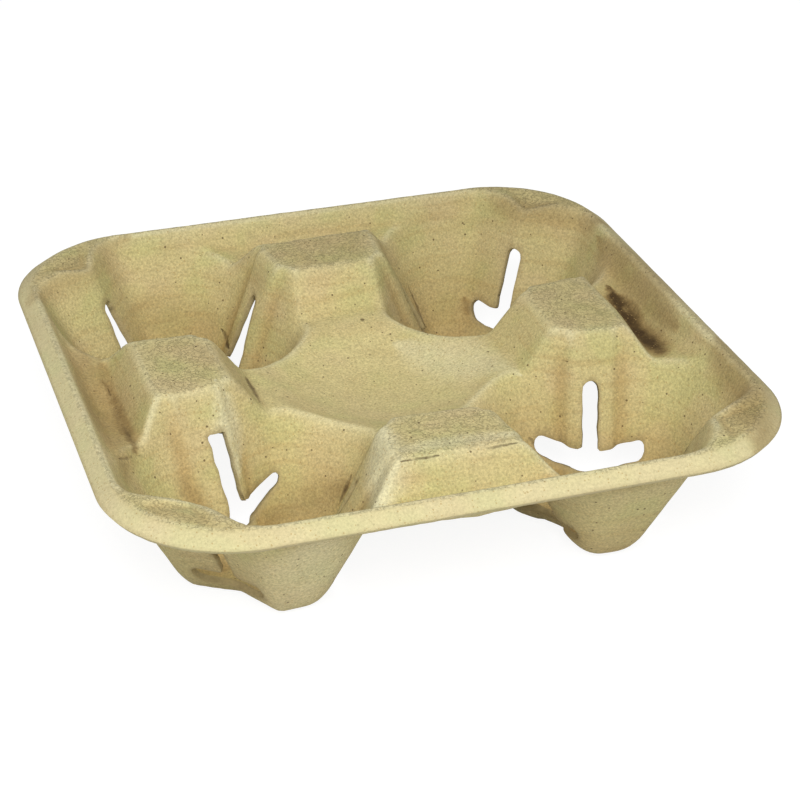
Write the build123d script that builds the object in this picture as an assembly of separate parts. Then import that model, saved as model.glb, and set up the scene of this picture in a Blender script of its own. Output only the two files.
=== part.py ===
from build123d import *
from math import atan, cos, radians, sin, sqrt
import os

# Moulded pulp carrier for four cups. Millimetres, +Z up. The origin is the
# middle of the footprint, on the surface that the four feet stand on.

# Overall sizes
rim_width = 215.0           # across the flats of the rim's outer edge
tray_height = 50.0          # feet to the crest of the rim
wall = 2.0                  # thickness of the pulp
rim_corner_radius = 42.0    # rim's outer edge, seen from above
rim_reach = 5.9             # crest to outer edge, sideways
rim_drop = 4.5              # crest to outer edge, downwards
crest_half = rim_width / 2 - rim_reach
crest_radius = rim_corner_radius - rim_reach
crest_diagonal = crest_half * sqrt(2) - crest_radius * (sqrt(2) - 1)

# Depths below the crest
land_depth = 0.29 * tray_height         # land between the pockets, floor behind each tower
dish_depth = 0.16 * tray_height         # middle of the dish, below the land
ledge_depth = 0.07 * tray_height        # front of each corner ledge

# Plan at the height of the crest, from the middle of the tray
dish_radius = 0.369 * crest_half
tower_inner = 0.538 * crest_half
tower_outer = 0.780 * crest_half
nose_radial = 0.581 * crest_half        # tower nose, along the tower's own line
nose_half = 0.170 * crest_half          # tower nose, to the side of that line
nose_turn_in = 35.0                     # its flank on the dish side, degrees off that line
nose_turn_out = 5.0                     # its flank on the rim side
dish_wall = 0.236 * crest_half          # dish side of a pocket, along the diagonal
dish_turn = 20.0                        # its halves turn by this angle round the pocket
corner_nose = 1.135 * crest_half        # face of the corner nose, along the diagonal
corner_turn = 15.0                      # the corner nose's flanks fall back by this angle

# How far each wall leans in over the whole height
wall_run = 0.2508 * crest_half
nose_run_in = 0.1980 * crest_half
nose_run_out = 0.2508 * crest_half
dish_wall_run = 0.2508 * crest_half
corner_run = 0.2508 * crest_half
tower_run_in = 0.3650 * crest_half
tower_run_out = 0.3130 * crest_half

# Slots: an upright cut with a crossbar at its foot, on every nose
slot_width = 5.5
slot_round = 0.45 * slot_width          # its upper corners
slot_top = 0.30 * tray_height           # below the crest
bar_top = 0.72 * tray_height
bar_height = 0.13 * tray_height
tower_bar_length = 0.354 * crest_half
corner_bar_length = 0.256 * crest_half
slot_radial = 0.610 * crest_half        # tower slots, along the tower's own line
slot_reach = 0.157 * crest_half         # depth of the cut, each way from the nose

# Rounding of the upper surface. Hollow radii are those at the crest, and shrink with depth
nose_radius = 0.049 * crest_half        # noses at the crest, wider with depth
crease_radius = 0.144 * crest_half      # upright creases of the pockets
crease_loss = 0.098 * crest_half        # what they lose over the whole height
dish_side_radius = 0.420 * crest_half   # middle of a pocket's dish side
dish_side_loss = 0.280 * crest_half
floor_radius = 0.10 * tray_height       # foot of the pocket walls and of the outer wall
floor_steps = 3                         # facets of that foot
tower_edge = 2 * wall                   # top edges of a tower
tower_foot = 2 * wall                   # where a tower's face meets the land

# Working solids
above = 2.0                             # they rise this far over the crest
beyond = 0.2 * crest_half               # and run this far past the walls
seam = 0.1                              # keeps faces of two blocks out of one plane
ledge_clear = 0.8                       # a ledge's slope meets the crest's height this far past it
ledge_back = crest_diagonal + ledge_clear
tower_block_half = 0.39 * crest_half    # the pockets cut the towers' blocks to width
ledge_block_half = 0.30 * crest_half
ledge_room = 0.10 * crest_half          # a ledge's block starts this far in front of its nose
diagonal = Vector(1, 1) / sqrt(2)


def slope(run):
    return run / tray_height


def inset(run, level, gap):
    """How far in a leaning wall stands at a level, once moved out by gap."""
    depth, tuck = level
    return depth * slope(run) - gap * sqrt(1 + slope(run) ** 2) + tuck


def levels(floor, gap):
    """Depths from over the crest down to a floor, each with the tuck of its rounding."""
    radius = floor_radius + gap
    lean = atan(slope(wall_run))
    steps = [(-above, 0.0)]
    for i in range(floor_steps + 1):
        angle = lean + (radians(90) - lean) * i / floor_steps
        tuck = radius * (1 - cos(angle - lean)) / cos(lean)
        steps.append((floor + gap - radius + radius * sin(angle), tuck))
    return steps


def rounded_square(half, radius, depth):
    return Pos(0, 0, -depth) * RectangleRounded(2 * half, 2 * half, radius)


def basin(steps, gap, spare=0):
    """Space inside the outer walls, moved out by a spare, down through the steps."""
    sections = []
    for level in steps:
        shift = inset(wall_run, level, gap) - spare
        sections.append(rounded_square(crest_half - shift, crest_radius - shift, level[0]))
    return loft(sections, ruled=True)


def line(point, angle, shift):
    """A line in the plan as its unit normal and its offset from the origin."""
    normal = Vector(cos(radians(angle)), sin(radians(angle)))
    return normal, normal.dot(point) + shift


def meet(first, second):
    (a, p), (b, q) = first, second
    det = a.X * b.Y - a.Y * b.X
    return Vector((p * b.Y - q * a.Y) / det, (a.X * q - b.X * p) / det)


def hollow_radius(radius, loss, level, gap):
    depth, tuck = level
    return radius - depth * slope(loss) + gap - tuck


def pocket_section(level, gap):
    """Outline of one pocket, mirrored about its diagonal, at a level."""
    nose = Vector(nose_half, nose_radial)
    tip = diagonal * corner_nose
    inner = line(nose, -nose_turn_in, inset(nose_run_in, level, gap))
    outer = line(nose, -nose_turn_out, inset(nose_run_out, level, gap))
    back = line(Vector(0, crest_half + seam), 90, -inset(wall_run, level, gap))
    dish_side = line(diagonal * dish_wall, 45 + dish_turn, inset(dish_wall_run, level, gap))
    mirrored_dish_side = line(diagonal * dish_wall, 45 - dish_turn, inset(dish_wall_run, level, gap))
    corner = line(tip, 45 - corner_turn, -inset(corner_run, level, gap))
    mirrored_corner = line(tip, 45 + corner_turn, -inset(corner_run, level, gap))
    half = [meet(dish_side, inner), meet(inner, outer), meet(outer, back), meet(back, corner)]
    mirrored_half = [Vector(p.Y, p.X) for p in reversed(half)]
    points = [meet(dish_side, mirrored_dish_side), *half, meet(corner, mirrored_corner), *mirrored_half]
    nose_round = nose_radius + inset(nose_run_out, level, gap)
    crease = hollow_radius(crease_radius, crease_loss, level, gap)
    dish_round = hollow_radius(dish_side_radius, dish_side_loss, level, gap)
    radii = [dish_round, crease, nose_round, crease, crease, nose_round, crease, crease, nose_round, crease]
    outline = FilletPolyline(*points, radius=radii, close=True)
    return Pos(0, 0, -level[0]) * make_face(outline)


def pocket(gap):
    floor = tray_height - wall
    return loft([pocket_section(level, gap) for level in levels(floor, gap)], ruled=True)


def tower(gap):
    """Block between a tower's inner and outer faces, across the +X side."""
    land = land_depth + gap + seam
    tail = 2 * (tower_foot + gap)
    base = land + above
    inner_top = tower_inner - inset(tower_run_in, (gap, 0), gap)
    inner_foot = tower_inner - inset(tower_run_in, (land, 0), gap)
    outer_top = tower_outer + inset(tower_run_out, (gap, 0), gap)
    outer_foot = tower_outer + inset(tower_run_out, (land, 0), gap)
    faces = FilletPolyline((inner_foot - tail, 0, -land), (inner_foot, 0, -land), (inner_top, 0, -gap),
                           (outer_top, 0, -gap), (outer_foot, 0, -land), (outer_foot + tail, 0, -land),
                           radius=[tower_foot + gap, tower_edge - gap, tower_edge - gap, tower_foot + gap])
    under = Polyline(faces @ 1, (outer_foot + tail, 0, -base), (inner_foot - tail, 0, -base), faces @ 0)
    return extrude(make_face([faces, under]), amount=tower_block_half, dir=(0, 1, 0), both=True)


def ledge(gap):
    """Block under the sloping ledge of the +X +Y corner."""
    front = corner_nose - inset(corner_run, (ledge_depth, 0), 0)
    rise = ledge_depth / (ledge_back - front)
    low = -gap * sqrt(1 + rise ** 2)
    foot = land_depth + gap + above
    far = ledge_back + beyond
    near = front - ledge_room
    profile = Polyline((near, 0, low - (ledge_back - near) * rise),
                       (far, 0, low + (far - ledge_back) * rise),
                       (far, 0, -foot), (near, 0, -foot), close=True)
    block = extrude(make_face(profile), amount=ledge_block_half, dir=(0, 1, 0), both=True)
    return Rot(0, 0, 45) * block


def dish(gap):
    """Shallow bowl between the four ridges, part of a sphere."""
    radius = (dish_radius ** 2 + dish_depth ** 2) / (2 * dish_depth)
    centre = radius - land_depth - dish_depth
    return Pos(0, 0, centre) * Sphere(radius + gap)


def hollow(gap):
    """Open space over the pulp, with its whole surface moved out by gap."""
    side = 2 * crest_half
    bowl = dish(gap) & Pos(0, 0, above - land_depth - gap - side / 2) * Box(side, side, side)
    space = basin(levels(land_depth, gap), gap, seam) + bowl
    space -= [Rot(0, 0, 90 * i) * tower(gap) for i in range(4)]
    space -= [Rot(0, 0, 90 * i) * ledge(gap) for i in range(4)]
    space += [Rot(0, 0, 90 * i) * pocket(gap) for i in range(4)]
    return space & basin([(-above, 0), (tray_height + above, 0)], gap)


def under_slope(drop):
    """Solid under the sloping top of the rim, lowered by drop."""
    sections = []
    for depth in (-above, tray_height):
        spread = depth * rim_reach / rim_drop
        sections.append(rounded_square(crest_half + spread, crest_radius + spread, depth + drop))
    return loft(sections, ruled=True)


def rim():
    """Flange that slopes out and down from the crest."""
    drop = wall * sqrt(1 + (rim_drop / rim_reach) ** 2)
    layer = under_slope(0) - under_slope(drop)
    outside = rounded_square(rim_width / 2, rim_corner_radius, 0)
    return layer & extrude(outside, amount=beyond, both=True)


def t_slot(bar_length):
    """Upright cut over a crossbar, cut through along Y, its line on the Z axis."""
    upright_height = bar_top + bar_height / 2 - slot_top
    shape = Pos(0, -slot_top - upright_height / 2) * Rectangle(slot_width, upright_height)
    shape = fillet(shape.vertices().group_by(Axis.Y)[-1], slot_round)
    shape += Pos(0, -bar_top - bar_height / 2) * SlotOverall(bar_length, bar_height)
    return extrude(Plane.XZ * shape, amount=slot_reach, both=True)


def slots():
    """The three cuts of the +X +Y pocket."""
    depth = (slot_top + bar_top + bar_height) / 2
    turn = (nose_turn_in + nose_turn_out) / 2
    nose = Vector(nose_half + inset(nose_run_out, (depth, 0), 0), slot_radial)
    side = Pos(nose.X, nose.Y, 0) * Rot(0, 0, -90 - turn) * t_slot(tower_bar_length)
    tip = diagonal * (corner_nose - inset(corner_run, (depth, 0), 0))
    corner = Pos(tip.X, tip.Y, 0) * Rot(0, 0, -45) * t_slot(corner_bar_length)
    return [side, corner, mirror(side, about=Plane.XZ.rotated((0, 0, 45)))]


def carrier_tray():
    shell = (hollow(wall) & under_slope(0)) + rim()
    shell -= hollow(0)
    cuts = [Rot(0, 0, 90 * i) * cut for i in range(4) for cut in slots()]
    shell -= cuts
    return Pos(0, 0, tray_height) * shell


tray = carrier_tray()
print(tray.volume, tray.is_valid, len(tray.solids()), len(tray.faces()), tray.bounding_box())
os.makedirs("parts", exist_ok=True)
export_step(tray, "parts/carrier_tray.step")
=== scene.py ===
import bpy
import numpy as np
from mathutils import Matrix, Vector


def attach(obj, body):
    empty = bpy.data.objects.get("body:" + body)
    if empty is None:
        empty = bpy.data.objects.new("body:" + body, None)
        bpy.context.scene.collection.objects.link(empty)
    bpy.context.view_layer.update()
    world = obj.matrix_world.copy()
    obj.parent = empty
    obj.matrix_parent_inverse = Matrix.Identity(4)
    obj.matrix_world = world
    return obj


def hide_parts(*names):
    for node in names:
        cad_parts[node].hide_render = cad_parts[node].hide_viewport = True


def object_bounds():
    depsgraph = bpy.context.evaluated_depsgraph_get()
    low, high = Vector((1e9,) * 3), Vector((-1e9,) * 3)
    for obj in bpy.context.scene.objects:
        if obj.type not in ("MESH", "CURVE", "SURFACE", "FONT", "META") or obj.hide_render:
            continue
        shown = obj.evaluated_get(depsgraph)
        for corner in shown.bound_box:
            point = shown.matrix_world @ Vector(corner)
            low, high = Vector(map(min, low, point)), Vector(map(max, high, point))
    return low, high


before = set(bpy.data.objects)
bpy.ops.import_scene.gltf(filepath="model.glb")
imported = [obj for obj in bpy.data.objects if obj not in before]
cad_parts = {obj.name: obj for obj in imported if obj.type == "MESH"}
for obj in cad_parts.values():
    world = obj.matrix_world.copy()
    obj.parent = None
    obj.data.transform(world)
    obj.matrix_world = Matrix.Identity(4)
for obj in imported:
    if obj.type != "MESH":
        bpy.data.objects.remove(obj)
cadLow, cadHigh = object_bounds()  # box of the construction, in metres

# Moulded pulp carrier for four cups: one skin, pressed over a mould and cut through at its noses.
# Heights are measured from the crest of the rim, so they are negative inside the tray.

tray = {
    "half": cadHigh.x,  # middle to the flange's outer edge
    "crest": cadHigh.z,
    "wall": 0.0020,
    "cornerRadius": 0.042,
    "cornerGrowth": 2.7,  # how fast the grid's rings grow round towards the flange
    "flangeReach": 0.0059,
    "flangeDrop": 0.0045,
    "wallLean": 27.0,  # degrees from upright, as all leans
    "land": -0.0145,
    "floor": -0.048,
    "dishRadius": 0.0375,
    "dishDepth": 0.008,
    "dishCap": 0.9,  # share of its ball's radius squared where the bowl's form ends
    "towerIn": 0.0547,  # faces of a tower at the crest's height
    "towerOut": 0.0793,
    "towerInLean": 36.6,
    "towerOutLean": 32.5,
    "towerTop": -0.0006,
    "noseAlong": 0.0590,  # sharp tip of a tower's nose: along the tower's line
    "noseAside": 0.0173,  # and beside it
    "noseTurns": (-35.0, -5.0),  # where its flanks face, in degrees
    "noseLeans": (21.9, 27.0),
    "noseBlend": (0.0015, 0.0075),  # rounding of its tip, at the crest and at the floor
    "ribHalf": 0.0085,  # the nose's middle stands proud as a rib
    "ribEdge": 0.0032,
    "ribProud": 0.0016,
    "dishSide": 0.0269,  # dish side of a pocket at the crest's height, along the diagonal
    "dishSideRadius": 0.0464,
    "dishSideLean": 27.0,
    "cornerNose": 0.1153,  # sharp tip of a corner's nose, along the diagonal
    "cornerTurn": 15.0,
    "cornerLean": 27.0,
    "cornerBlend": 0.0016,
    "ledgeBack": 0.1295,
    "ledgeFront": 0.1135,
    "ledgeDepth": 0.0035,
    "dishBlend": 0.0020,  # height differences over which two surfaces run into each other
    "footBlend": 0.0045,
    "footRound": 0.0095,  # where the walls run into a pocket's floor
    "creaseBlend": (0.0260, 0.0035),  # upright creases of a pocket, at the crest and the floor
    "cornerCreaseShare": 0.5,
    "edgeBlend": 0.0045,
    "towerBlend": 0.0030,
    "crestBlend": 0.0040,
    "cells": 212,  # across the grid
    "bevelWidth": 0.0005,
    "bevelTurn": 55.0,  # edges that turn by more degrees than this are softened
}

slots = {
    "width": 0.0055,
    "top": -0.015,
    "topRound": 1.0,  # 1 for a round top, towards 0 for a square one
    "flare": 0.0,  # share by which the upright widens down to the bar
    "shift": 0.0,  # of the upright, to the side
    "barTop": -0.036,
    "barHeight": 0.0065,
    "along": 0.062,  # of a tower's slot, along the tower's line
    "bar": (-0.018, 0.018),  # its two ends, from the dish side to the rim side
    "cornerBar": (-0.013, 0.013),
    "reach": 0.016,  # how far through the nose the cutter goes, to each side
    "barLift": (0.0016, 0.0016),  # how far the bar's ends curl up
    "barTaper": 0.0,  # share of its height that they lose
    "joint": 0.0012,  # rounding between the upright and the bar
    "wobble": (0.00012, 0.006),  # of the outline: amount and size
    "snapPasses": 4,  # moves that bring the grid's points on to the outline
    "snapStep": 0.0001,
    "snapLimit": 0.0006,  # furthest move of a pass
    "snapSlope": 0.2,  # least squared slope that a move is divided by
    "odd": {  # cuts unlike the rest, by the pocket's side in x and y and by the tower's line
        (-1, 1, "y"): {
            "bar": (-0.0045, 0.009), "width": 0.0046, "flare": 0.8, "top": -0.0130,
        },
        (-1, 1, "corner"): {
            "bar": (-0.009, 0.009), "width": 0.0050, "flare": 0.7, "top": -0.0138,
        },
        (-1, -1, "x"): {
            "bar": (-0.0215, 0.0016), "barLift": (0.0062, 0.0), "barTaper": 0.5,
            "width": 0.0062, "top": -0.0137, "topRound": 0.4, "shift": -0.0027,
        },
        (1, -1, "x"): {"barLift": (0.0030, 0.0028)},
        (-1, -1, "y"): {"width": 0.0022},
    },
}

relief = {
    "seed": 7,
    "sway": (0.0005, 0.045),  # slow drift of the walls: amount and size
    "swayFrom": 0.02,  # distance from the crest's line where it counts in full
    "lumps": (0.00007, 0.009),
    "pimples": (0.00003, 0.0028),
    "quickWaves": 24,  # in the sum for each of these two
    "flangeCalm": 0.6,  # share of the roughness that the flange lacks
    "calmFrom": (-0.003, 0.001),  # distances from the crest's line, as the next
    "flangeFrom": (-0.001, 0.002),
    "fold": (0.0022, 0.0007),  # how far to each side a fold is felt, and the bend of a full one
    "wideFold": (0.0070, 0.0040),
    "ribShade": (0.0015, 0.0026),  # the hollows beside a rib: how far past its side, how wide
    "ribShadeFrom": (0.003, 0.015),  # depths over which they begin
}


def softMin(a, b, blend):
    # The lower of two heights, less a quarter of the blend times the square of how close they are.
    close = np.clip(1 - np.abs(a - b) / np.maximum(blend, 1e-9), 0, 1)
    return np.minimum(a, b) - close * close * blend / 4


def softMax(a, b, blend):
    # The same for the higher of the two, by turning both upside down.
    return -softMin(-a, -b, blend)


def softStep(value, low, high):
    # From 0 at low to 1 at high: three times the share's square less twice its cube.
    share = np.clip((value - low) / (high - low), 0, 1)
    return share * share * (3 - 2 * share)


def rise(lean):
    # Height that a leaning wall gains for each metre sideways: one over the lean's tangent.
    return 1 / np.tan(np.radians(lean))


def ripple(points, size, seed, waves=14):
    # Sum of plane waves in random directions, with lengths near the size, scaled to unit spread.
    dice = np.random.default_rng(seed)
    heading = dice.normal(size=(3, waves))
    heading /= np.linalg.norm(heading, axis=0)
    length = size * dice.uniform(0.7, 1.5, waves)
    phase = dice.uniform(0, 2 * np.pi, waves)
    return np.cos(points @ (heading * 2 * np.pi / length) + phase).sum(axis=-1) / np.sqrt(waves / 2)


def gridPlan(cells):
    # Square rings whose corners grow round towards the flange: along each ring, a point keeps
    # its share of the length, which is a straight run and then an eighth of a turn.
    line = np.linspace(-1, 1, cells + 1)
    u, v = np.meshgrid(line, line, indexing="ij")
    wide, narrow = np.maximum(abs(u), abs(v)), np.minimum(abs(u), abs(v))
    ring = np.maximum(wide, 1e-9)
    radius = tray["cornerRadius"] * ring ** tray["cornerGrowth"]
    straight = tray["half"] * ring - radius
    along = narrow / ring * (straight + radius * np.pi / 4)
    turn = np.maximum(along - straight, 0) / radius
    near = np.where(turn > 0, straight + radius * np.sin(turn), along)
    far = straight + radius * np.cos(turn)
    sideways = abs(u) >= abs(v)
    x = np.sign(u) * np.where(sideways, far, near)
    y = np.sign(v) * np.where(sideways, near, far)
    return x, y


def roundBox(outX, outY, radius):
    # Signed distance to a box with round corners, from how far a place lies past the middles
    # of its corner circles both ways: negative inside.
    outside = np.hypot(np.maximum(outX, 0), np.maximum(outY, 0))
    return outside + np.minimum(np.maximum(outX, outY), 0) - radius


def flangeDistance(x, y):
    # Signed distance to the crest's line, a square with round corners.
    half = tray["half"] - tray["flangeReach"]
    radius = tray["cornerRadius"] - tray["flangeReach"]
    return roundBox(abs(x) - (half - radius), abs(y) - (half - radius), radius)


def flank(aside, along, tip, turn, lean):
    # Height of a leaning face through the tip, which faces the way of the turn.
    turn = np.radians(turn)
    out = (aside - tip[0]) * np.cos(turn) + (along - tip[1]) * np.sin(turn)
    return -out * rise(lean)


def deepening(blend, height):
    # A blend's width at a height, between its values at the crest and at the floor.
    share = np.clip(height / tray["floor"], 0, 1)
    return blend[0] + (blend[1] - blend[0]) * share


def slotMiddle():
    # Depth of a slot's middle below the crest.
    return -(slots["top"] + slots["barTop"] - slots["barHeight"]) / 2


def slotFrame(aside, along):
    # Place beside a tower's slot and out from it, where the slot's middle cuts the nose.
    turn = np.radians(sum(tray["noseTurns"]) / 2)
    dx = aside - tray["noseAside"] - slotMiddle() * np.tan(np.radians(tray["noseLeans"][1]))
    dy = along - slots["along"]
    return dy * np.cos(turn) - dx * np.sin(turn), dx * np.cos(turn) + dy * np.sin(turn)


def noseHeight(aside, along):
    # A tower's nose: two flanks with a tip that gets rounder with depth, and a rib down its
    # middle, which stands proud by its thickness times the wall's rise.
    tip = (tray["noseAside"], tray["noseAlong"])
    inner, outer = (flank(aside, along, tip, turn, lean)
                    for turn, lean in zip(tray["noseTurns"], tray["noseLeans"]))
    height = softMin(inner, outer, deepening(tray["noseBlend"], np.minimum(inner, outer)))
    across, _ = slotFrame(aside, along)
    halfEdge = tray["ribEdge"] / 2
    rib = 1 - softStep(np.abs(across), tray["ribHalf"] - halfEdge, tray["ribHalf"] + halfEdge)
    return height + rib * tray["ribProud"] * rise(tray["noseLeans"][1])


def dishHeight(x, y):
    # A bowl cut from a ball: its radius is the sum of the dish's radius squared and its depth
    # squared, over twice the depth.
    depth = tray["dishDepth"]
    ball = (tray["dishRadius"] ** 2 + depth ** 2) / (2 * depth)
    away = np.minimum(x * x + y * y, ball ** 2 * tray["dishCap"])
    return tray["land"] - depth + ball - np.sqrt(ball ** 2 - away)


def landHeight(x, y, outerWall):
    # The level land with the dish in it, or the higher of it and each tower, ledge and the outer
    # wall. A tower is the lowest of its two leaning faces and its top.
    ax, ay = np.abs(x), np.abs(y)
    blend = tray["towerBlend"]
    land = softMin(np.full_like(x, tray["land"]), dishHeight(x, y), tray["dishBlend"])
    for along in (ax, ay):
        inner = (along - tray["towerIn"]) * rise(tray["towerInLean"])
        outer = (tray["towerOut"] - along) * rise(tray["towerOutLean"])
        tower = softMin(softMin(inner, outer, blend), np.full_like(x, tray["towerTop"]), blend)
        land = softMax(land, tower, blend)
    diagonal = (ax + ay) / np.sqrt(2)
    slope = tray["ledgeDepth"] / (tray["ledgeBack"] - tray["ledgeFront"])
    land = softMax(land, (diagonal - tray["ledgeBack"]) * slope, blend)
    return softMax(land, outerWall, tray["footBlend"])


def pocketHeight(x, y, outerWall):
    # The four pockets: the highest of the outer wall, two tower noses, the hollow cone of the
    # dish side, the corner's nose and the floor, with creases that get sharper with depth.
    ax, ay = np.abs(x), np.abs(y)
    diagonal, across = (ax + ay) / np.sqrt(2), (ax - ay) / np.sqrt(2)
    left, right = (flank(diagonal, across, (tray["cornerNose"], 0), 180 + turn, tray["cornerLean"])
                   for turn in (-tray["cornerTurn"], tray["cornerTurn"]))
    corner = softMin(left, right, tray["cornerBlend"])
    axis = tray["dishSide"] + tray["dishSideRadius"]
    fromAxis = np.hypot(np.minimum(diagonal - axis, 0), across)
    dishSide = (fromAxis - tray["dishSideRadius"]) * rise(tray["dishSideLean"])
    walls = ((noseHeight(ax, ay), 1), (noseHeight(ay, ax), 1), (dishSide, 1),
             (corner, tray["cornerCreaseShare"]))
    pocket = outerWall
    for wall, share in walls:
        blend = deepening(tray["creaseBlend"], np.maximum(pocket, wall))
        pocket = softMax(pocket, wall, blend * share)
    return softMax(pocket, np.full_like(x, tray["floor"]), tray["footRound"])


def trayHeight(x, y):
    # Height of the upper face over the plan: the pockets are cut down into the land, all of it
    # under the flange's slope. Nothing is blended where land and pocket are both the outer wall.
    rim = flangeDistance(x, y)
    outerWall = rim * rise(tray["wallLean"])
    land, pocket = landHeight(x, y, outerWall), pocketHeight(x, y, outerWall)
    apart = np.clip((pocket - outerWall) / tray["footBlend"], 0, 1)
    height = softMin(land, pocket, tray["edgeBlend"] * apart)
    flange = -rim * tray["flangeDrop"] / tray["flangeReach"]
    return softMin(height, flange, tray["crestBlend"])


def slotShape(aside, height, cut):
    # Signed distance to an upright, which may flare and has a more or less round top, joined to
    # a bar whose round ends curl up and may taper, both by the square of their distance.
    low, high = cut["bar"]
    share = np.clip(aside / np.where(aside < 0, low, high), 0, 1) ** 2
    radius = slots["barHeight"] / 2 * (1 - cut["barTaper"] * share)
    barMiddle = slots["barTop"] - slots["barHeight"] / 2
    widening = cut["flare"] * softStep(cut["top"] - height, 0, cut["top"] - slots["barTop"])
    half = cut["width"] / 2 * (1 + widening)
    corner = half * cut["topRound"]
    outX = np.abs(aside - cut["shift"]) - half + corner
    outY = np.maximum(height - cut["top"], barMiddle - height) + corner
    side = aside - np.clip(aside, low + radius, high - radius)
    lift = np.where(aside < 0, *cut["barLift"]) * share
    bar = np.hypot(side, height - barMiddle - lift) - radius
    return softMin(roundBox(outX, outY, corner), bar, slots["joint"])


def slotDistance(x, y, height):
    # Nearest of the three cuts of each pocket: below zero where the pulp is cut away.
    ax, ay = np.abs(x), np.abs(y)
    leaning = slotMiddle() * np.tan(np.radians(tray["cornerLean"]))
    inward = (ax + ay) / np.sqrt(2) - tray["cornerNose"] + leaning
    places = {
        "y": slotFrame(ax, ay),
        "x": slotFrame(ay, ax),
        "corner": ((ax - ay) / np.sqrt(2), inward),
    }
    nearest = np.full_like(x, 1.0)
    for line, (aside, depth) in places.items():
        usual = {**slots, "bar": slots["cornerBar"]} if line == "corner" else slots
        shape = slotShape(aside, height, usual)
        for (sideX, sideY, oddLine), changes in slots["odd"].items():
            if line == oddLine:
                here = (x * sideX > 0) & (y * sideY > 0)
                shape = np.where(here, slotShape(aside, height, {**usual, **changes}), shape)
        nearest = np.minimum(nearest, np.maximum(shape, np.abs(depth) - slots["reach"]))
    return nearest


def skinPoint(x, y):
    # The mould's form, drifted sideways by slow waves and roughened by quick ones.
    seed = relief["seed"]
    rim = flangeDistance(x, y)
    flat = np.stack([x, y, np.zeros_like(x)], axis=-1)
    amount, size = relief["sway"]
    inside = np.clip(-rim / relief["swayFrom"], 0, 1)
    movedX = x + inside * amount * ripple(flat, size, seed)
    movedY = y + inside * amount * ripple(flat, size, seed + 1)
    height = trayHeight(movedX, movedY)
    point = np.stack([x, y, height], axis=-1)
    rough = sum(relief[name][0] * ripple(point, relief[name][1], seed + 2 + i, relief["quickWaves"])
                for i, name in enumerate(("lumps", "pimples")))
    calm = relief["flangeCalm"] * softStep(rim, *relief["calmFrom"])
    point[..., 2] = height + rough * (1 - calm)
    return point


def cutValue(x, y):
    # Distance to the cuts at the skin's own height, with an outline that wavers a little.
    point = skinPoint(x, y)
    amount, size = slots["wobble"]
    wobble = amount * ripple(point, size, relief["seed"] + 9)
    return slotDistance(x, y, point[..., 2]) + wobble


def skinNormals(x, y, step=0.0004):
    # Cross product of the skin's two slopes, each taken over a short step to both sides.
    slopeX = skinPoint(x + step, y) - skinPoint(x - step, y)
    slopeY = skinPoint(x, y + step) - skinPoint(x, y - step)
    normal = np.cross(slopeX, slopeY)
    return normal / np.linalg.norm(normal, axis=-1, keepdims=True)


def foldAmount(x, y, reach, full):
    # How far the form bends: the mean height of four near places less the place's own, over one
    # plus the slope's square. From -1 on a sharp edge, through 0 on a flat, to 1 in a crease.
    east, west, north, south = (trayHeight(x + dx, y + dy)
                                for dx, dy in ((reach, 0), (-reach, 0), (0, reach), (0, -reach)))
    steepness = 1 + ((east - west) ** 2 + (north - south) ** 2) / (4 * reach ** 2)
    bend = (east + west + north + south) / 4 - trayHeight(x, y)
    return np.clip(bend / steepness / full, -1, 1)


def ribShade(x, y, height):
    # 1 in the two upright hollows beside each tower nose's rib, fading out by a bell curve.
    past, wide = relief["ribShade"]
    below = softStep(-height, *relief["ribShadeFrom"])
    shade = np.zeros_like(x)
    for aside, along in ((abs(x), abs(y)), (abs(y), abs(x))):
        across, depth = slotFrame(aside, along)
        bell = np.exp(-((np.abs(across) - tray["ribHalf"] - past) / wide) ** 2)
        shade = np.maximum(shade, bell * below * (np.abs(depth) < slots["reach"]))
    return shade


def gridFaces(cells):
    # The grid's faces, each by its four corners in turn.
    corner = np.arange((cells + 1) ** 2).reshape(cells + 1, cells + 1)
    around = [corner[:-1, :-1], corner[1:, :-1], corner[1:, 1:], corner[:-1, 1:]]
    return np.stack(around, axis=-1).reshape(-1, 4)


def snapToCuts(x, y):
    # Each pass moves the points down the slope of the cuts' distance, on to its zero line: the
    # distance times the slope, over the slope's square.
    step, limit = slots["snapStep"], slots["snapLimit"]
    for _ in range(slots["snapPasses"]):
        slopeX = (cutValue(x + step, y) - cutValue(x - step, y)) / (2 * step)
        slopeY = (cutValue(x, y + step) - cutValue(x, y - step)) / (2 * step)
        pull = cutValue(x, y) / np.maximum(slopeX ** 2 + slopeY ** 2, slots["snapSlope"])
        pull = np.clip(pull, -limit, limit)
        x, y = x - pull * slopeX, y - pull * slopeY
    return x, y


def borderEdges(faces):
    # Sides that belong to a single face: those round the flange and the cuts.
    edges = np.concatenate([faces[:, [i, (i + 1) % 4]] for i in range(4)])
    key = np.sort(edges, axis=1)
    _, first, count = np.unique(key, axis=0, return_index=True, return_counts=True)
    return edges[first[count == 1]]


def skinMarks(x, y, height, border):
    # Numbers that the material reads at the points, those of the upper face first.
    rim = flangeDistance(x, y)
    fold, wideFold = (foldAmount(x, y, *relief[name]) for name in ("fold", "wideFold"))
    onFlange = rim > tray["flangeReach"] / 2
    edge = np.zeros(len(x))
    edge[np.unique(border)] = 1
    return {
        "fold": np.concatenate([fold, -fold]),
        "wideFold": np.concatenate([wideFold, -wideFold]),
        "ribShade": np.tile(ribShade(x, y, height), 2),
        "under": np.repeat([0.0, 1.0], len(x)),
        "cutEdge": np.tile(np.where(onFlange, 0, edge), 2),
        "flangeEdge": np.tile(np.where(onFlange, edge, 0), 2),
        "flange": np.tile(softStep(rim, *relief["flangeFrom"]), 2),
    }


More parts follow.
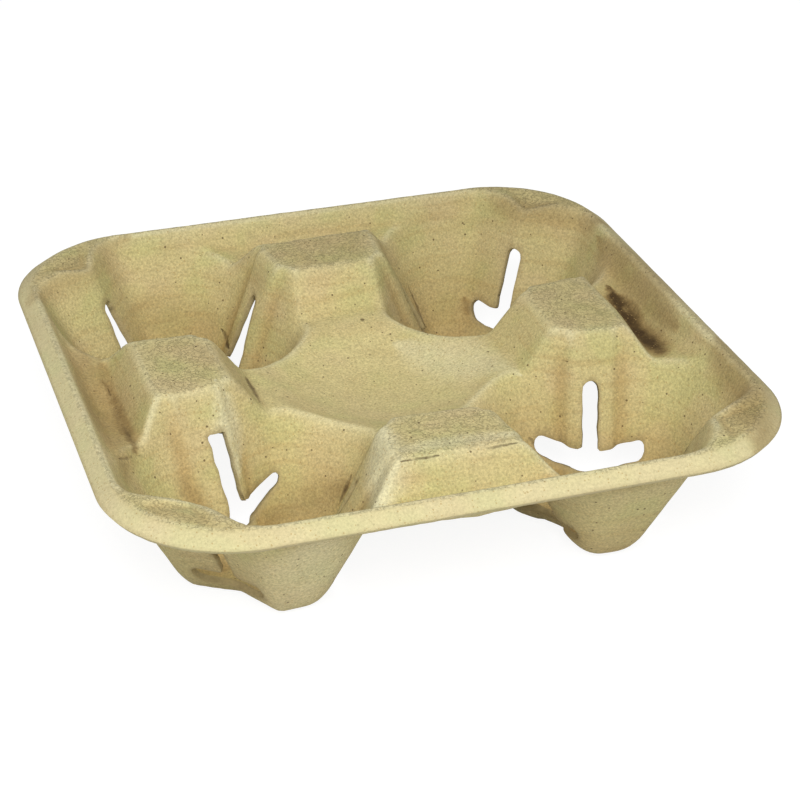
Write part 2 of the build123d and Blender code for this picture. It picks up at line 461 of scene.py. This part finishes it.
def makeTray():
    # The upper face is the grid without the faces that the cuts take, the under face lies off
    # it by the wall along its normals, and strips of faces close the flange and the cuts.
    quads = gridFaces(tray["cells"])
    x, y = (values.ravel() for values in gridPlan(tray["cells"]))
    cut = cutValue(x[quads].mean(axis=1), y[quads].mean(axis=1)) < 0
    kept = quads[~cut]
    outline = np.intersect1d(quads[cut], kept)
    x[outline], y[outline] = snapToCuts(x[outline], y[outline])

    top = skinPoint(x, y)
    points = np.concatenate([top, top - skinNormals(x, y) * tray["wall"]])
    border = borderEdges(kept)
    start, end, number = border[:, 0], border[:, 1], len(top)
    strips = np.stack([end, start, start + number, end + number], axis=1)
    faces = np.concatenate([kept, kept[:, ::-1] + number, strips])
    marks = skinMarks(x, y, top[:, 2], border)
    used, faces = np.unique(faces, return_inverse=True)
    points, faces = points[used], faces.reshape(-1, 4)
    marks = {name: values[used] for name, values in marks.items()}

    points[:, 2] += tray["crest"]
    low, high = points.min(axis=0), points.max(axis=0)
    boxLow, boxHigh = np.array(cadLow), np.array(cadHigh)
    points = boxLow + (points - low) * (boxHigh - boxLow) / (high - low)  # fills the frame's box
    return points, faces, marks


def meshObject(name, points, faces, material, marks=None):
    mesh = bpy.data.meshes.new(name)
    mesh.from_pydata(points.tolist(), [], faces.tolist())
    for mark, values in (marks or {}).items():
        mesh.attributes.new(mark, "FLOAT", "POINT").data.foreach_set("value", values)
    mesh.shade_smooth()
    mesh.materials.append(material)
    piece = bpy.data.objects.new(name, mesh)
    bpy.context.collection.objects.link(piece)
    return piece


def addNode(tree, kind, inputs, **settings):
    # A node whose sockets, by name or number, get a value or a link from another node's output.
    node = tree.nodes.new("ShaderNode" + kind)
    for name, value in settings.items():
        setattr(node, name, value)
    for socket, value in inputs.items():
        if isinstance(value, bpy.types.NodeSocket):
            tree.links.new(value, node.inputs[socket])
        else:
            node.inputs[socket].default_value = value
    return node


def maths(tree, operation, first, *others):
    # The operation on the first two values, then on its result and the next, and so on.
    for other in others:
        first = addNode(tree, "Math", {0: first, 1: other}, operation=operation).outputs[0]
    return first


def times(tree, *values):
    # Their product.
    return maths(tree, "MULTIPLY", *values)


def largest(tree, *values):
    # For masks, each place's strongest.
    return maths(tree, "MAXIMUM", *values)


def less(tree, whole, value, share):
    # The whole, without a share of the value.
    return maths(tree, "SUBTRACT", whole, times(tree, value, share))


def vectors(tree, operation, *values, result="Vector"):
    sockets = dict(enumerate(values))
    return addNode(tree, "VectorMath", sockets, operation=operation).outputs[result]


def scaled(tree, vector, amount):
    return addNode(tree, "VectorMath", {0: vector, "Scale": amount}, operation="SCALE").outputs[0]


def softMask(tree, value, low, high):
    # 0 at low, 1 at high, and a soft rise between them.
    sockets = {"Value": value, "From Min": low, "From Max": high}
    return addNode(tree, "MapRange", sockets, interpolation_type="SMOOTHSTEP").outputs["Result"]


def spread(tree, value, low, high):
    # A value between 0 and 1, moved to between low and high.
    return addNode(tree, "MapRange", {"Value": value, "To Min": low, "To Max": high}).outputs[0]


def tinted(tree, share, under, colour):
    # The colour below, with a share of another laid over it.
    sockets = {0: share, 6: under, 7: (*colour, 1)}
    return addNode(tree, "Mix", sockets, data_type="RGBA").outputs[2]


def noise(tree, place, size, detail=2.0, roughness=0.5, result="Fac"):
    sockets = {"Vector": place, "Scale": 1 / size, "Detail": detail, "Roughness": roughness}
    return addNode(tree, "TexNoise", sockets).outputs[result]


pulp = {  # colours, shares, sizes in metres, and the ends between which a mask rises
    "colour": (0.565, 0.478, 0.226),
    "patchSize": 0.016,
    "rosy": (0.573, 0.466, 0.234),  # patches run from the one to the other
    "rosyFrom": (0.50, 0.68),
    "green": (0.527, 0.477, 0.209),
    "greenFrom": (0.50, 0.34),
    "brown": (0.405, 0.270, 0.100),  # for the level lines and dots, and for painted shade in creases, hollows, painted shadows and deep in the pockets
    "deepShadeFrom": (0.036, 0.006),
    "deepShadeShare": 0.60,
    "driftSize": 0.028,  # of the painted shade in the pockets
    "driftFrom": (0.25, 0.65),
    "creaseFrom": (0.05, 0.9),
    "creaseShadeShare": 0.70,
    "hollowFrom": (0.05, 1.0),
    "hollowShadeShare": 0.55,
    "streakSize": 0.0022,  # level lines that the draining water left
    "streakSquash": (0.08, 0.08, 1.0),
    "streakFrom": (0.45, 0.75),
    "streakShare": 0.28,
    "paintedHighlight": (0.690, 0.640, 0.400),  # painted highlight on the outward edges and the flange, and in the painted pools of light
    "paintedHighlightFrom": (-0.05, -0.9),
    "paintedHighlightShare": 0.55,
    "wideHighlightFrom": (-0.1, -0.9),
    "wideHighlightShare": 0.30,
    "flangeShare": 0.42,
    "farShade": (0.300, 0.235, 0.100),  # painted shade: the far right side darker
    "farShadeWay": (0.8, 0.6, 0.0),
    "farShadeFrom": (0.000, 0.130),
    "farShadeShare": 0.24,
    "dish": (0.665, 0.570, 0.275),
    "dishFrom": (0.052, 0.026),  # from the middle
    "dishShare": 0.42,
    "grey": (0.400, 0.362, 0.205),  # drained side of the pulp, and level places near the crest
    "levelFrom": (0.84, 0.96),
    "topFrom": (0.0455, 0.0485),
    "topShare": 0.05,
    "underShare": 0.22,
    # darkest core of the painted shadows
    "shadowCore": (0.060, 0.034, 0.010),
    "blotchSize": 0.006,  # breaks up the painted shadows and painted pools of light
    "blotchFrom": (-0.15, 0.50),
    "blotchBend": 0.0026,
    "grainSize": 0.0008,
    "grain": 1.36,
    "flangeGrain": 0.5,  # share of the grain that the flange lacks
    "curlSize": 0.0022,  # matted fibres show as curly lines
    "curlWidth": 0.045,
    "curlShade": 0.17,
    "curlLeast": 0.2,  # of them away from the level tops
    "dotSize": 0.0010,
    "dotRadius": (0.00017, 0.00034),
    "dotNumber": 0.45,  # share of the cells that have one
    "dotShare": 0.65,
    "speck": (0.080, 0.048, 0.020),
    "speckSize": 0.0024,
    "speckRadius": (0.00016, 0.00050),
    "speckNumber": 0.30,
    "speckShare": 0.8,
    "flangeSpeck": 0.6,  # what the flange lacks of it
    "speckCore": 0.6,  # share of a speck's or dot's radius that is full
    "cut": (0.330, 0.255, 0.125),
    "cutShare": 0.60,
    "flangeCut": 0.5,
    "splitAndShadeBend": 0.0009,
    "splitAndShadeShare": 0.85,
    "bendSize": 0.003,  # of the noise that bends the splits, the painted shade lines and the painted shadows
    "lineCore": 0.1,  # share of a line's width that is full
    "lineLeast": 0.00001,  # width at its ends
    "roughness": (0.80, 0.98),
    "specular": 0.25,
    "feltSize": 0.0022,
    "bump": 0.00035,
    "bumpStrength": 0.9,
    "bumpGrain": 0.35,
    "bumpCurl": 0.5,
    "bumpSplit": 1.5,
}

# Places below are two ends, in metres from the middle and the base, a width and a strength.

splitsAndCreaseShade = [  # fine splits in the skin, and two painted shade lines along the left tower's creases
    ((-0.0205, -0.0790, 0.0491), (-0.0050, -0.0792, 0.0489), 0.0007, 0.85),
    ((0.0040, -0.0797, 0.0486), (0.0190, -0.0792, 0.0489), 0.0006, 0.75),
    ((0.0528, -0.0178, 0.0406), (0.0585, -0.0226, 0.0405), 0.0005, 0.60),
    ((-0.0358, 0.0770, 0.0193), (-0.0360, 0.0640, 0.0172), 0.0022, 1.00),
    ((-0.0957, -0.0401, 0.0419), (-0.0872, -0.0322, 0.0374), 0.0010, 0.60),
    # painted shade along the foot of the left tower's dish side
    ((-0.0436, 0.0110, 0.0360), (-0.0443, -0.0145, 0.0364), 0.0018, 0.90),
    ((-0.0219, -0.0389, 0.0233), (-0.0274, -0.0404, 0.0119), 0.0013, 0.95),
    # painted shade along the crease of the left tower's valley
    ((-0.0887, 0.0127, 0.0376), (-0.0891, -0.0330, 0.0395), 0.0012, 0.55),
    ((0.0430, -0.0246, 0.0168), (0.0460, -0.0272, 0.0125), 0.0010, 0.80),
    ((0.0366, 0.0832, 0.0252), (0.0422, 0.0758, 0.0070), 0.0012, 0.85),
    ((0.0045, 0.0379, 0.0351), (0.0063, 0.0379, 0.0351), 0.0012, 1.00),
    ((0.0025, 0.0215, 0.0301), (0.0037, 0.0215, 0.0301), 0.0008, 0.80),
]

paintedShadows = [  # painted shadows and shade: the right tower's cast shadow in its valley, shade in the valleys and on the walls beside both side towers, on the corner ledges, the right flange and in the pockets
    ((-0.0888, 0.0360, 0.0390), (-0.0886, -0.0060, 0.0368), 0.0050, 0.50),
    ((-0.0888, 0.0220, 0.0376), (-0.0891, -0.0420, 0.0396), 0.0050, 0.70),
    ((-0.0925, 0.0450, 0.0400), (-0.0935, -0.0600, 0.0410), 0.0140, 0.42),
    ((0.0916, 0.0280, 0.0405), (0.0918, -0.0080, 0.0370), 0.0085, 1.00),
    ((0.0914, 0.0160, 0.0380), (0.0900, -0.0340, 0.0372), 0.0092, 1.00),
    ((0.0995, 0.0560, 0.0455), (0.0980, -0.0200, 0.0438), 0.0170, 0.46),
    ((0.0600, 0.1000, 0.0490), (0.1100, 0.0540, 0.0490), 0.0120, 0.46),
    ((0.1060, -0.0300, 0.0465), (0.0860, -0.1120, 0.0480), 0.0160, 0.48),
    ((-0.0360, 0.0820, 0.0300), (-0.0360, 0.0540, 0.0120), 0.0090, 0.42),
    ((-0.0700, 0.0920, 0.0260), (-0.0280, 0.0800, 0.0150), 0.0180, 0.30),
    ((-0.0520, -0.0290, 0.0020), (-0.0220, -0.0400, 0.0200), 0.0130, 0.50),
    ((-0.0800, -0.0250, 0.0300), (-0.0660, -0.0380, 0.0120), 0.0070, 0.40),
    ((0.0585, 0.0835, 0.0150), (0.0605, 0.0770, 0.0085), 0.0045, 0.60),
    ((-0.1100, 0.0560, 0.0490), (-0.0600, 0.1040, 0.0490), 0.0120, 0.30),
    ((-0.0790, 0.0950, 0.0460), (-0.0740, 0.0820, 0.0180), 0.0090, 0.34),
]

paintedLights = [  # painted light: pale patches where faces are lit brighter, on the towers' flanks and front, the land, the dish and the front wall
    ((-0.0590, -0.0140, 0.0500), (-0.0560, -0.0330, 0.0200), 0.0085, 0.90),
    ((-0.0185, -0.0560, 0.0500), (-0.0290, -0.0900, 0.0380), 0.0130, 0.90),
    ((-0.0260, -0.0730, 0.0490), (0.0240, -0.0750, 0.0494), 0.0060, 0.50),
    ((-0.0380, -0.0420, 0.0355), (-0.0200, -0.0360, 0.0355), 0.0040, 0.45),
    ((0.0120, 0.0260, 0.0310), (0.0440, -0.0160, 0.0350), 0.0170, 0.45),
    ((-0.0520, -0.0850, -0.0200), (-0.0480, -0.0980, 0.0450), 0.0300, 0.45),
]


# draws the splits and also the painted shadows, painted shade lines and painted pools of light
def lineMarkGroup():
    # Distance to the line between two ends, as a mask that is full on the line and thins out
    # towards the ends: width times four times the share of the way times its remainder.
    group = bpy.data.node_groups.new("lineMark", "ShaderNodeTree")
    kinds = dict.fromkeys(("Place", "Start", "End"), "Vector")
    kinds.update(dict.fromkeys(("Width", "Strength"), "Float"))
    for name, kind in kinds.items():
        group.interface.new_socket(name, in_out="INPUT", socket_type="NodeSocket" + kind)
    group.interface.new_socket("Mask", in_out="OUTPUT", socket_type="NodeSocketFloat")
    given, result = group.nodes.new("NodeGroupInput"), group.nodes.new("NodeGroupOutput")
    place, start, end, width, strength = (given.outputs[name] for name in kinds)
    run = vectors(group, "SUBTRACT", end, start)
    fromStart = vectors(group, "SUBTRACT", place, start)
    reached = vectors(group, "DOT_PRODUCT", fromStart, run, result="Value")
    share = maths(group, "DIVIDE", reached, vectors(group, "DOT_PRODUCT", run, run, result="Value"))
    share = addNode(group, "Clamp", {"Value": share}).outputs[0]
    nearest = vectors(group, "ADD", start, scaled(group, run, share))
    away = vectors(group, "DISTANCE", place, nearest, result="Value")
    taper = times(group, share, 4, maths(group, "SUBTRACT", 1, share))
    reach = largest(group, times(group, width, taper), pulp["lineLeast"])
    mask = softMask(group, maths(group, "DIVIDE", away, reach), 1.0, pulp["lineCore"])
    group.links.new(times(group, mask, strength), result.inputs["Mask"])
    return group


def lineMarkMask(tree, group, place, lines, bend):
    # The deepest of all the lines, each bent by a noise.
    drift = noise(tree, place, pulp["bendSize"], result="Color")
    sway = vectors(tree, "SUBTRACT", drift, (0.5, 0.5, 0.5))
    bent = vectors(tree, "MULTIPLY_ADD", sway, (bend,) * 3, place)
    mask = 0.0
    for start, end, width, strength in lines:
        sockets = {"Place": bent, "Start": start, "End": end, "Width": width, "Strength": strength}
        mask = largest(tree, mask, addNode(tree, "Group", sockets, node_tree=group).outputs["Mask"])
    return mask


def speckMask(tree, place, size, radius, number):
    # Round specks at scattered points: each cell's own random numbers set whether it has one,
    # and how big.
    cell = addNode(tree, "TexVoronoi", {"Vector": place, "Scale": 1 / size})
    dice = addNode(tree, "SeparateColor", {"Color": cell.outputs["Color"]}).outputs
    reach = spread(tree, dice["Green"], radius[0] / size, radius[1] / size)
    away = maths(tree, "DIVIDE", cell.outputs["Distance"], reach)
    inside = softMask(tree, away, 1.0, pulp["speckCore"])
    return times(tree, inside, maths(tree, "LESS_THAN", dice["Red"], number))


def curlMask(tree, place, size, width):
    # Curly lines: where a noise passes its middle value.
    waves = noise(tree, place, size, detail=3.0, roughness=0.6)
    away = addNode(tree, "Math", {0: maths(tree, "SUBTRACT", waves, 0.5)}, operation="ABSOLUTE")
    return softMask(tree, away.outputs[0], width, 0.0)


def pulpTone(tree, place, height):
    # The pulp's own colour in rosy and green patches, with painted shade deep in the pockets.
    patches = noise(tree, place, pulp["patchSize"], detail=1.5, roughness=0.55)
    rosy, green = (softMask(tree, patches, *pulp[name]) for name in ("rosyFrom", "greenFrom"))
    colour = tinted(tree, rosy, (*pulp["colour"], 1), pulp["rosy"])
    colour = tinted(tree, green, colour, pulp["green"])
    # painted shade: browner the deeper the place, broken up by a noise
    deepShade = softMask(tree, height, *pulp["deepShadeFrom"])
    drift = softMask(tree, noise(tree, place, pulp["driftSize"]), *pulp["driftFrom"])
    return tinted(tree, times(tree, deepShade, pulp["deepShadeShare"], drift), colour, pulp["brown"])


def foldTone(tree, colour, place, mark):
    # Painted shade in the creases and hollows, brown level lines, and a painted highlight on the
    # outward edges and the flange.
    # painted shade where the form bends inward and in the hollows beside the ribs
    crease = softMask(tree, mark["fold"], *pulp["creaseFrom"])
    hollow = largest(tree, softMask(tree, mark["wideFold"], *pulp["hollowFrom"]), mark["ribShade"])
    brown = largest(tree, times(tree, crease, pulp["creaseShadeShare"]),
                    times(tree, hollow, pulp["hollowShadeShare"]))
    colour = tinted(tree, brown, colour, pulp["brown"])
    squashed = vectors(tree, "MULTIPLY", place, pulp["streakSquash"])
    lines = softMask(tree, noise(tree, squashed, pulp["streakSize"]), *pulp["streakFrom"])
    colour = tinted(tree, times(tree, lines, pulp["streakShare"]), colour, pulp["brown"])
    # painted highlight where the form bends outward, and on the flange
    edge = softMask(tree, mark["fold"], *pulp["paintedHighlightFrom"])
    wideEdge = softMask(tree, mark["wideFold"], *pulp["wideHighlightFrom"])
    paintedHighlight = largest(tree, times(tree, edge, pulp["paintedHighlightShare"]),
                   times(tree, mark["flange"], pulp["flangeShare"]),
                   times(tree, wideEdge, pulp["wideHighlightShare"]))
    return tinted(tree, paintedHighlight, colour, pulp["paintedHighlight"])


def placeTone(tree, colour, place, level, under):
    # Painted shade on the far right side, pale in the dish, grey on the level tops and the
    # underside.
    # painted shade growing towards the far right side
    way = vectors(tree, "DOT_PRODUCT", place, pulp["farShadeWay"], result="Value")
    farShade = softMask(tree, way, *pulp["farShadeFrom"])
    colour = tinted(tree, times(tree, farShade, pulp["farShadeShare"]), colour, pulp["farShade"])
    flat = vectors(tree, "MULTIPLY", place, (1, 1, 0))
    dish = softMask(tree, vectors(tree, "LENGTH", flat, result="Value"), *pulp["dishFrom"])
    colour = tinted(tree, times(tree, dish, pulp["dishShare"]), colour, pulp["dish"])
    grey = largest(tree, times(tree, level, pulp["topShare"]),
                   times(tree, under, pulp["underShare"]))
    return tinted(tree, grey, colour, pulp["grey"])


def shadeAndLightTone(tree, colour, place, group):
    # Painted shadows turn brown, and by their square dark; painted pools of light turn pale.
    blotch = softMask(tree, noise(tree, place, pulp["blotchSize"], detail=3.0), *pulp["blotchFrom"])
    shadowed, brightened = (times(tree, lineMarkMask(tree, group, place, lines, pulp["blotchBend"]), blotch)
                       for lines in (paintedShadows, paintedLights))
    colour = tinted(tree, shadowed, colour, pulp["brown"])
    colour = tinted(tree, times(tree, shadowed, shadowed), colour, pulp["shadowCore"])
    return tinted(tree, brightened, colour, pulp["paintedHighlight"])


def fibreTone(tree, colour, place, grain, curls, flange):
    # Lighter and darker grain with darker curly fibres, then brown dots and dark specks.
    strength = times(tree, less(tree, 1, flange, pulp["flangeGrain"]), pulp["grain"])
    shade = maths(tree, "ADD", 1, times(tree, maths(tree, "SUBTRACT", grain, 0.5), strength))
    shade = times(tree, shade, less(tree, 1, curls, pulp["curlShade"]))
    colour = scaled(tree, colour, shade)
    dots = speckMask(tree, place, pulp["dotSize"], pulp["dotRadius"], pulp["dotNumber"])
    colour = tinted(tree, times(tree, dots, pulp["dotShare"]), colour, pulp["brown"])
    specks = speckMask(tree, place, pulp["speckSize"], pulp["speckRadius"], pulp["speckNumber"])
    share = less(tree, pulp["speckShare"], flange, pulp["flangeSpeck"])
    return tinted(tree, times(tree, specks, share), colour, pulp["speck"])


def pulpMaterial():
    material = bpy.data.materials.new("pulp")
    material.use_nodes = True
    tree = material.node_tree
    shader = tree.nodes["Principled BSDF"]
    place = addNode(tree, "TexCoord", {}).outputs["Object"]
    normal = addNode(tree, "NewGeometry", {}).outputs["Normal"]
    height, facing = (addNode(tree, "SeparateXYZ", {"Vector": vector}).outputs["Z"]
                      for vector in (place, normal))
    names = ("fold", "wideFold", "ribShade", "under", "cutEdge", "flangeEdge", "flange")
    mark = {name: addNode(tree, "Attribute", {}, attribute_name=name).outputs["Fac"]
            for name in names}
    upper = maths(tree, "SUBTRACT", 1, mark["under"])
    level = times(tree, softMask(tree, facing, *pulp["levelFrom"]),
                  softMask(tree, height, *pulp["topFrom"]), upper)
    grain = noise(tree, place, pulp["grainSize"], detail=3.0, roughness=0.7)
    curls = curlMask(tree, place, pulp["curlSize"], pulp["curlWidth"])
    curls = times(tree, curls, largest(tree, level, pulp["curlLeast"]))
    group = lineMarkGroup()

    colour = pulpTone(tree, place, height)
    colour = foldTone(tree, colour, place, mark)
    colour = placeTone(tree, colour, place, level, mark["under"])
    # painted shadows and painted pools of light
    colour = shadeAndLightTone(tree, colour, place, group)
    colour = fibreTone(tree, colour, place, grain, curls, mark["flange"])
    edge = largest(tree, mark["cutEdge"], times(tree, mark["flangeEdge"], pulp["flangeCut"]))
    colour = tinted(tree, times(tree, edge, pulp["cutShare"]), colour, pulp["cut"])
    # splits, and painted shade lines along two creases
    splitAndShade = lineMarkMask(tree, group, place, splitsAndCreaseShade, pulp["splitAndShadeBend"])
    colour = tinted(tree, times(tree, splitAndShade, pulp["splitAndShadeShare"]), colour, pulp["speck"])
    tree.links.new(colour, shader.inputs["Base Color"])

    tree.links.new(spread(tree, grain, *pulp["roughness"]), shader.inputs["Roughness"])
    shader.inputs["Specular IOR Level"].default_value = pulp["specular"]
    felt = noise(tree, place, pulp["feltSize"], detail=4.0, roughness=0.65)
    raised = maths(tree, "ADD", times(tree, grain, pulp["bumpGrain"]), felt)
    raised = less(tree, raised, curls, pulp["bumpCurl"])
    raised = less(tree, raised, splitAndShade, pulp["bumpSplit"])
    sockets = {"Height": raised, "Distance": pulp["bump"], "Strength": pulp["bumpStrength"]}
    tree.links.new(addNode(tree, "Bump", sockets).outputs["Normal"], shader.inputs["Normal"])
    return material


studio = {
    "camera": (-0.1908, -0.6047, 0.3774),
    "aim": (-0.0081, -0.0455, 0.0500),
    "lens": 98.28,
    "sensor": 36.0,
    "floorSize": 6.0,
    "floorLit": 0.80,  # what the floor sends back to the tray
    "floorSeen": 0.20,  # what the camera sees of it on top of its own glow
    "floorGlow": 0.90,
    "keyPlace": (-0.20, -0.68, 0.74),
    "keySize": 0.6,
    "keyPower": 9.7,
    "sky": 0.30,
}


def seenRays(tree):
    # 1 for what the camera sees, straight or by a mirror or glass.
    path = addNode(tree, "LightPath", {}).outputs
    return largest(tree, path["Is Glossy Ray"], path["Is Transmission Ray"], path["Is Camera Ray"])


def floorMaterial():
    # Pale paper that the camera sees as white, with the tray's shadow left on it.
    material = bpy.data.materials.new("whitePaper")
    material.use_nodes = True
    tree = material.node_tree
    shader = tree.nodes["Principled BSDF"]
    seen = seenRays(tree)
    lit, shown, glow = ((studio[name],) * 3 for name in ("floorLit", "floorSeen", "floorGlow"))
    tree.links.new(tinted(tree, seen, (*lit, 1), shown), shader.inputs["Base Color"])
    shader.inputs["Roughness"].default_value = 1.0
    shader.inputs["Specular IOR Level"].default_value = 0.0
    shader.inputs["Emission Color"].default_value = (*glow, 1)
    tree.links.new(seen, shader.inputs["Emission Strength"])
    return material


def makeCamera():
    data = bpy.data.cameras.new("camera")
    data.lens, data.sensor_width = studio["lens"], studio["sensor"]
    camera = bpy.data.objects.new("camera", data)
    bpy.context.collection.objects.link(camera)
    camera.location = studio["camera"]
    look = Vector(studio["aim"]) - Vector(studio["camera"])
    camera.rotation_euler = look.to_track_quat("-Z", "Y").to_euler()
    bpy.context.scene.camera = camera


def makeLights():
    data = bpy.data.lights.new("key", "AREA")
    data.size, data.energy = studio["keySize"], studio["keyPower"]
    lamp = bpy.data.objects.new("key", data)
    bpy.context.collection.objects.link(lamp)
    lamp.location = studio["keyPlace"]
    lamp.rotation_euler = (-lamp.location).to_track_quat("-Z", "Y").to_euler()
    world = bpy.data.worlds.new("world")
    world.use_nodes = True
    bpy.context.scene.world = world
    tree = world.node_tree
    sky = tree.nodes["Background"]
    sky.inputs["Color"].default_value = (1, 1, 1, 1)
    tree.links.new(spread(tree, seenRays(tree), studio["sky"], 1.0), sky.inputs["Strength"])


def makeFloor():
    half = studio["floorSize"] / 2
    points = np.array([(-half, -half, 0), (half, -half, 0), (half, half, 0), (-half, half, 0)])
    floor = meshObject("floor", points, np.array([[0, 1, 2, 3]]), floorMaterial())


makeCamera()
print("camera placed")
points, faces, marks = makeTray()
print("skin worked out:", len(points), "points,", len(faces), "faces")
skin = meshObject("pulpTray", points, faces, pulpMaterial(), marks)
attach(skin, "root")
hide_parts("carrier_tray")
bevel = skin.modifiers.new("softEdge", "BEVEL")
bevel.width, bevel.segments = tray["bevelWidth"], 1
bevel.limit_method, bevel.angle_limit = "ANGLE", np.radians(tray["bevelTurn"])
print("tray made")
makeLights()
makeFloor()
print("stage set")

view = bpy.context.scene.view_settings
view.view_transform = "Standard"
